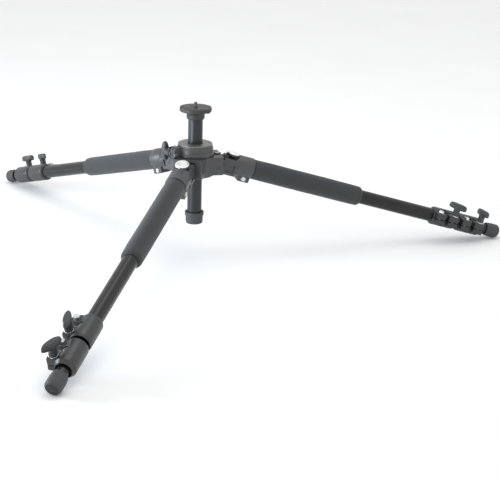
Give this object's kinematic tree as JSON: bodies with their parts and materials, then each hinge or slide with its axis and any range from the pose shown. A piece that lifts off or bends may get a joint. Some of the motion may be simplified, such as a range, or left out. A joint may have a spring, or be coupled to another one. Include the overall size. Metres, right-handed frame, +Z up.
{
  "type": "camera tripod",
  "caption": "Folding camera support: legs with foam grips, screw-clamped extensions and rubber feet, on a shoulder with a short sliding column and round head plate.",
  "frame": {"origin": "on the column's axis, in the plane of the head plate's face, where the head stud leaves it", "axes": "+Z up along the column and the head stud; the front leg points along -Y and the others lie at 120 degrees to it"},
  "size_m": [1.1424, 0.9927, 0.3068],
  "materials": {
    "casting": "dark grey fine-grain powder coat on die-cast alloy",
    "collar_ring": "light grey bead-blasted alloy",
    "anodised": "satin charcoal anodised tube",
    "leg_tube": "gloss black anodised tube",
    "plate": "dark grey textured coat",
    "foam": "matte closed-cell foam",
    "rubber": "matte moulded rubber",
    "knob": "moulded nylon, fine grain",
    "black_plastic": "black nylon",
    "zinc": "bright zinc plate",
    "button": "polished plated disc",
    "vial": "tinted level window"
  },
  "bodies": {
    "hub": {"shoulder": "casting", "hinge_pins": "anodised", "column_collar": "casting", "collar_top_ring": "collar_ring", "collar_fasteners": "zinc", "level_housing": "black_plastic", "level_vial": "vial"},
    "column_bush": {"column_bush": "black_plastic"},
    "column": {"column_tube": "anodised", "top_plate": "plate", "head_stud": "zinc", "plate_set_screw": "zinc", "column_cap": "rubber"},
    "column_knob": {"column_knob": "knob"},
    "front_leg": {"front_leg_casting": "casting", "front_sleeve_screw": "zinc", "front_upper_tube": "leg_tube", "front_foam_grip": "foam", "front_upper_clamp": "casting", "front_upper_fasteners": "zinc"},
    "front_angle_lock": {"front_angle_button": "button", "front_stop_pawl": "black_plastic"},
    "front_upper_knob": {"front_upper_knob": "knob"},
    "front_mid_section": {"front_mid_tube": "leg_tube", "front_lower_clamp": "casting", "front_lower_fasteners": "zinc"},
    "front_lower_knob": {"front_lower_knob": "knob"},
    "front_lower_section": {"front_lower_tube": "leg_tube", "front_foot": "rubber"},
    "right_leg": {"right_leg_casting": "casting", "right_sleeve_screw": "zinc", "right_upper_tube": "leg_tube", "right_foam_grip": "foam", "right_upper_clamp": "casting", "right_upper_fasteners": "zinc"},
    "right_angle_lock": {"right_angle_button": "button", "right_stop_pawl": "black_plastic"},
    "right_upper_knob": {"right_upper_knob": "knob"},
    "right_mid_section": {"right_mid_tube": "leg_tube", "right_lower_clamp": "casting", "right_lower_fasteners": "zinc"},
    "right_lower_knob": {"right_lower_knob": "knob"},
    "right_lower_section": {"right_lower_tube": "leg_tube", "right_foot": "rubber"},
    "left_leg": {"left_leg_casting": "casting", "left_sleeve_screw": "zinc", "left_upper_tube": "leg_tube", "left_foam_grip": "foam", "left_upper_clamp": "casting", "left_upper_fasteners": "zinc"},
    "left_angle_lock": {"left_angle_button": "button", "left_stop_pawl": "black_plastic"},
    "left_upper_knob": {"left_upper_knob": "knob"},
    "left_mid_section": {"left_mid_tube": "leg_tube", "left_lower_clamp": "casting", "left_lower_fasteners": "zinc"},
    "left_lower_knob": {"left_lower_knob": "knob"},
    "left_lower_section": {"left_lower_tube": "leg_tube", "left_foot": "rubber"}
  },
  "joints": [
    {"name": "column_spin", "type": "hinge", "parent": "hub", "child": "column_bush", "pos_m": [0, 0, -0.1], "axis": [0, 0, 1], "continuous": true},
    {"name": "column_slide", "type": "slide", "parent": "column_bush", "child": "column", "axis": [0, 0, 1], "range_m": [-0.042, 0.07]},
    {"name": "column_knob_turn", "type": "hinge", "parent": "hub", "child": "column_knob", "pos_m": [-0.02958, -0.03653, -0.0874], "axis": [-0.7771, 0.6293, 0], "range_deg": [0, 90]},
    {"name": "front_leg_fold", "type": "hinge", "parent": "hub", "child": "front_leg", "pos_m": [0, -0.039, -0.112], "axis": [1, 0, 0], "range_deg": [0, 70]},
    {"name": "front_button_press", "type": "slide", "parent": "front_leg", "child": "front_angle_lock", "axis": [0, 0.2823, -0.9593], "range_m": [0, 0.004], "stiffness_N_per_m": 400, "springref_m": -0.002},
    {"name": "front_upper_knob_turn", "type": "hinge", "parent": "front_leg", "child": "front_upper_knob", "pos_m": [-0.021, -0.54408, -0.23762], "axis": [0, -0.2823, 0.9593], "range_deg": [0, 360]},
    {"name": "front_mid_slide", "type": "slide", "parent": "front_leg", "child": "front_mid_section", "axis": [0, -0.9593, -0.2823], "range_m": [0, 0.39]},
    {"name": "front_lower_knob_turn", "type": "hinge", "parent": "front_mid_section", "child": "front_lower_knob", "pos_m": [-0.021, -0.60164, -0.25456], "axis": [0, -0.2823, 0.9593], "range_deg": [0, 360]},
    {"name": "front_lower_slide", "type": "slide", "parent": "front_mid_section", "child": "front_lower_section", "axis": [0, -0.9593, -0.2823], "range_m": [0, 0.4]},
    {"name": "right_leg_fold", "type": "hinge", "parent": "hub", "child": "right_leg", "pos_m": [0.03377, 0.0195, -0.112], "axis": [-0.5, 0.866, 0], "range_deg": [0, 70]},
    {"name": "right_button_press", "type": "slide", "parent": "right_leg", "child": "right_angle_lock", "axis": [-0.2445, -0.1412, -0.9593], "range_m": [0, 0.004], "stiffness_N_per_m": 400, "springref_m": -0.002},
    {"name": "right_upper_knob_turn", "type": "hinge", "parent": "right_leg", "child": "right_upper_knob", "pos_m": [0.48169, 0.25385, -0.23762], "axis": [0.2445, 0.1412, 0.9593], "range_deg": [0, 360]},
    {"name": "right_mid_slide", "type": "slide", "parent": "right_leg", "child": "right_mid_section", "axis": [0.8308, 0.4797, -0.2823], "range_m": [0, 0.39]},
    {"name": "right_lower_knob_turn", "type": "hinge", "parent": "right_mid_section", "child": "right_lower_knob", "pos_m": [0.53154, 0.28263, -0.25456], "axis": [0.2445, 0.1412, 0.9593], "range_deg": [0, 360]},
    {"name": "right_lower_slide", "type": "slide", "parent": "right_mid_section", "child": "right_lower_section", "axis": [0.8308, 0.4797, -0.2823], "range_m": [0, 0.4]},
    {"name": "left_leg_fold", "type": "hinge", "parent": "hub", "child": "left_leg", "pos_m": [-0.03377, 0.0195, -0.112], "axis": [-0.5, -0.866, 0], "range_deg": [0, 70]},
    {"name": "left_button_press", "type": "slide", "parent": "left_leg", "child": "left_angle_lock", "axis": [0.2445, -0.1412, -0.9593], "range_m": [0, 0.004], "stiffness_N_per_m": 400, "springref_m": -0.002},
    {"name": "left_upper_knob_turn", "type": "hinge", "parent": "left_leg", "child": "left_upper_knob", "pos_m": [-0.46069, 0.29023, -0.23762], "axis": [-0.2445, 0.1412, 0.9593], "range_deg": [0, 360]},
    {"name": "left_mid_slide", "type": "slide", "parent": "left_leg", "child": "left_mid_section", "axis": [-0.8308, 0.4797, -0.2823], "range_m": [0, 0.39]},
    {"name": "left_lower_knob_turn", "type": "hinge", "parent": "left_mid_section", "child": "left_lower_knob", "pos_m": [-0.51054, 0.31901, -0.25456], "axis": [-0.2445, 0.1412, 0.9593], "range_deg": [0, 360]},
    {"name": "left_lower_slide", "type": "slide", "parent": "left_mid_section", "child": "left_lower_section", "axis": [-0.8308, 0.4797, -0.2823], "range_m": [0, 0.4]}
  ]
}
